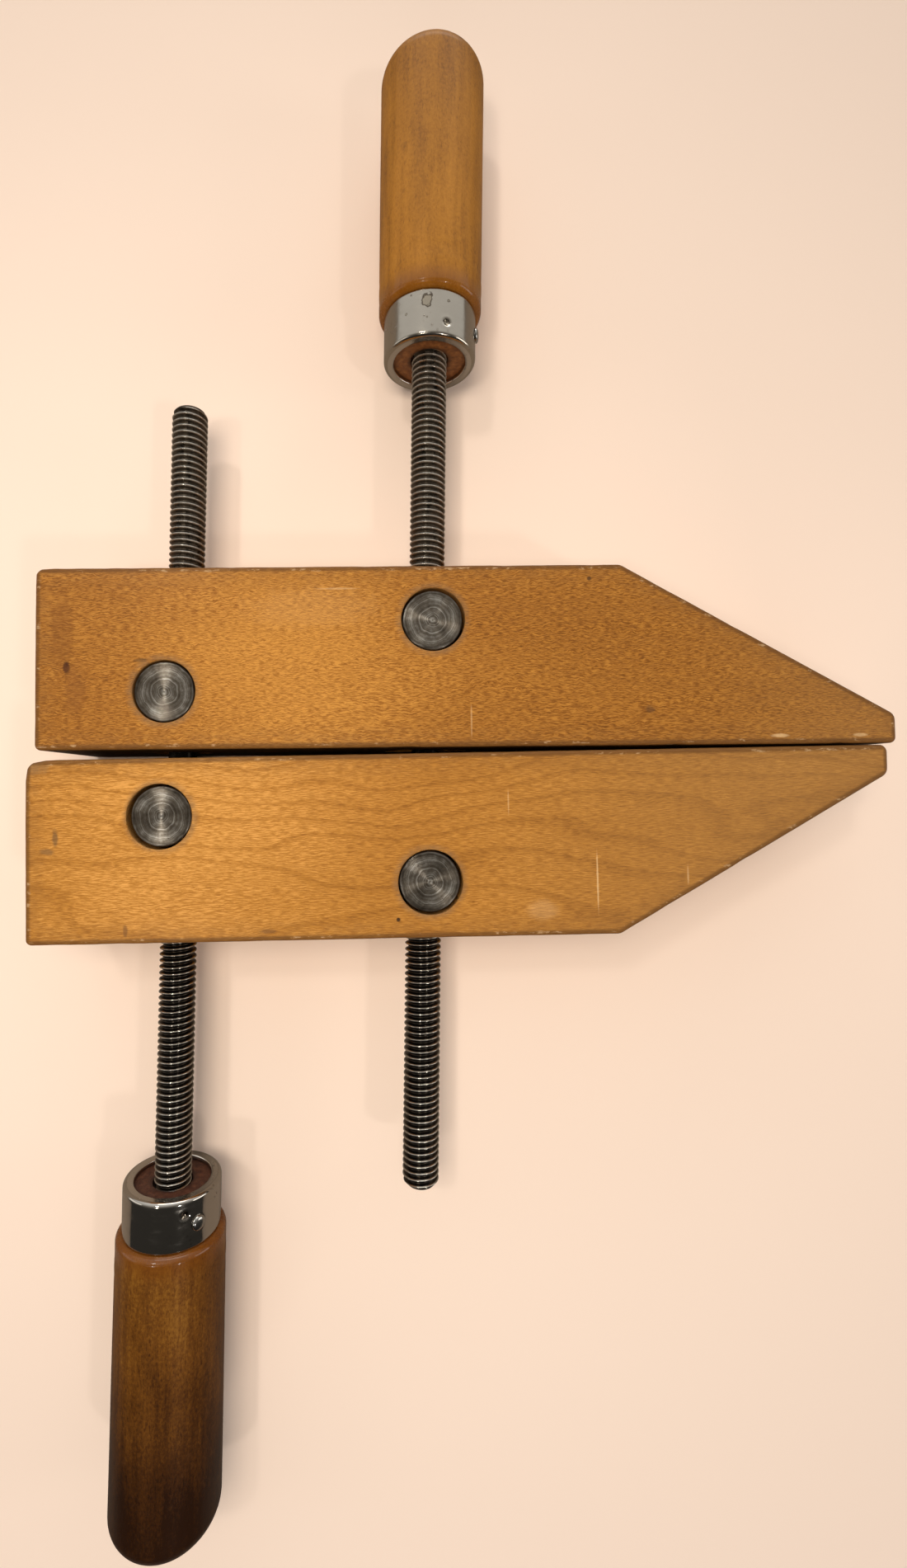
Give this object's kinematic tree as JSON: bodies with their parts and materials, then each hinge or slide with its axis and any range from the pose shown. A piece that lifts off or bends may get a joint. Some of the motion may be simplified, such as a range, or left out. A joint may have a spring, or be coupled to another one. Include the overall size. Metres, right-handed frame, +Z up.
{
  "type": "parallel handscrew clamp",
  "caption": "Wooden parallel handscrew clamp: tapered jaws on crossed-thread steel spindles with swivel nuts and turned handles.",
  "frame": {"origin": "centre of the bounding box's footprint, on the plane of the side faces that the clamp lies on", "axes": "+X from the heel of the jaws to their tips, +Y from the lower jaw to the upper jaw, +Z up from the side faces it lies on"},
  "size_m": [0.207, 0.3844, 0.035],
  "materials": {
    "upper_jaw_wood": "satin",
    "lower_jaw_wood": "satin",
    "handle_wood": "gloss",
    "spindle_steel": "satin",
    "nut_steel": "satin",
    "ferrule_chrome": "gloss",
    "washer_fibre": "matte",
    "pin_steel": "satin"
  },
  "bodies": {
    "lower_jaw": {"lower_jaw": "lower_jaw_wood"},
    "lower_rear_nut": {"lower_rear_nut": "nut_steel"},
    "rear_washer": {"rear_washer": "washer_fibre"},
    "rear_spindle": {"rear_spindle": "spindle_steel", "rear_handle": "handle_wood", "rear_ferrule": "ferrule_chrome", "rear_pin": "pin_steel"},
    "upper_rear_nut": {"upper_rear_nut": "nut_steel"},
    "upper_jaw": {"upper_jaw": "upper_jaw_wood"},
    "upper_mid_nut": {"upper_mid_nut": "nut_steel"},
    "lower_mid_nut": {"lower_mid_nut": "nut_steel"},
    "mid_washer": {"mid_washer": "washer_fibre"},
    "mid_spindle": {"mid_spindle": "spindle_steel", "mid_handle": "handle_wood", "mid_ferrule": "ferrule_chrome", "mid_pin": "pin_steel"}
  },
  "joints": [
    {"name": "jaw_angle", "type": "hinge", "parent": "lower_jaw", "child": "lower_rear_nut", "pos_m": [-0.07151, -0.01135, 0.0175], "axis": [0, 0, 1], "range_deg": [0, 1.75]},
    {"name": "rear_spindle_travel", "type": "slide", "parent": "lower_rear_nut", "child": "rear_washer", "axis": [0.0275, 0.9996, 0], "range_m": [0, 0.0548]},
    {"name": "rear_spindle_turn", "type": "hinge", "parent": "rear_washer", "child": "rear_spindle", "pos_m": [-0.0711, 0.00345, 0.0175], "axis": [0.0275, 0.9996, 0], "range_deg": [0, 12447.09]},
    {"name": "upper_rear_nut_travel", "type": "slide", "parent": "rear_washer", "child": "upper_rear_nut", "axis": [0.0275, 0.9996, 0], "range_m": [0, 0.0553]},
    {"name": "upper_jaw_swivel", "type": "hinge", "parent": "upper_rear_nut", "child": "upper_jaw", "pos_m": [-0.07069, 0.01825, 0.0175], "axis": [0, 0, 1], "range_deg": [0, 1.8]},
    {"name": "upper_mid_nut_swivel", "type": "hinge", "parent": "upper_jaw", "child": "upper_mid_nut", "pos_m": [-0.00654, 0.03455, 0.0175], "axis": [0, 0, 1], "range_deg": [-1.8, 0]},
    {"name": "lower_mid_nut_swivel", "type": "hinge", "parent": "lower_jaw", "child": "lower_mid_nut", "pos_m": [-0.00826, -0.02765, 0.0175], "axis": [0, 0, 1], "range_deg": [0, 1.8]},
    {"name": "mid_spindle_travel", "type": "slide", "parent": "lower_mid_nut", "child": "mid_washer", "axis": [0.0275, 0.9996, 0], "range_m": [0, 0.0553]},
    {"name": "mid_spindle_turn", "type": "hinge", "parent": "mid_washer", "child": "mid_spindle", "pos_m": [-0.0074, 0.00345, 0.0175], "axis": [0.0275, 0.9996, 0], "range_deg": [0, 12447.09]}
  ],
  "couplings": [
    {"joint": "upper_jaw_swivel", "follows": "jaw_angle", "ratio": 1},
    {"joint": "upper_mid_nut_swivel", "follows": "jaw_angle", "ratio": -1},
    {"joint": "lower_mid_nut_swivel", "follows": "jaw_angle", "ratio": 1},
    {"joint": "rear_spindle_turn", "follows": "rear_spindle_travel", "rad_per_m": 3957.9},
    {"joint": "upper_rear_nut_travel", "follows": "rear_spindle_travel", "ratio": 1},
    {"joint": "mid_spindle_travel", "follows": "rear_spindle_travel", "ratio": 1},
    {"joint": "mid_spindle_turn", "follows": "rear_spindle_travel", "rad_per_m": 3957.9}
  ]
}
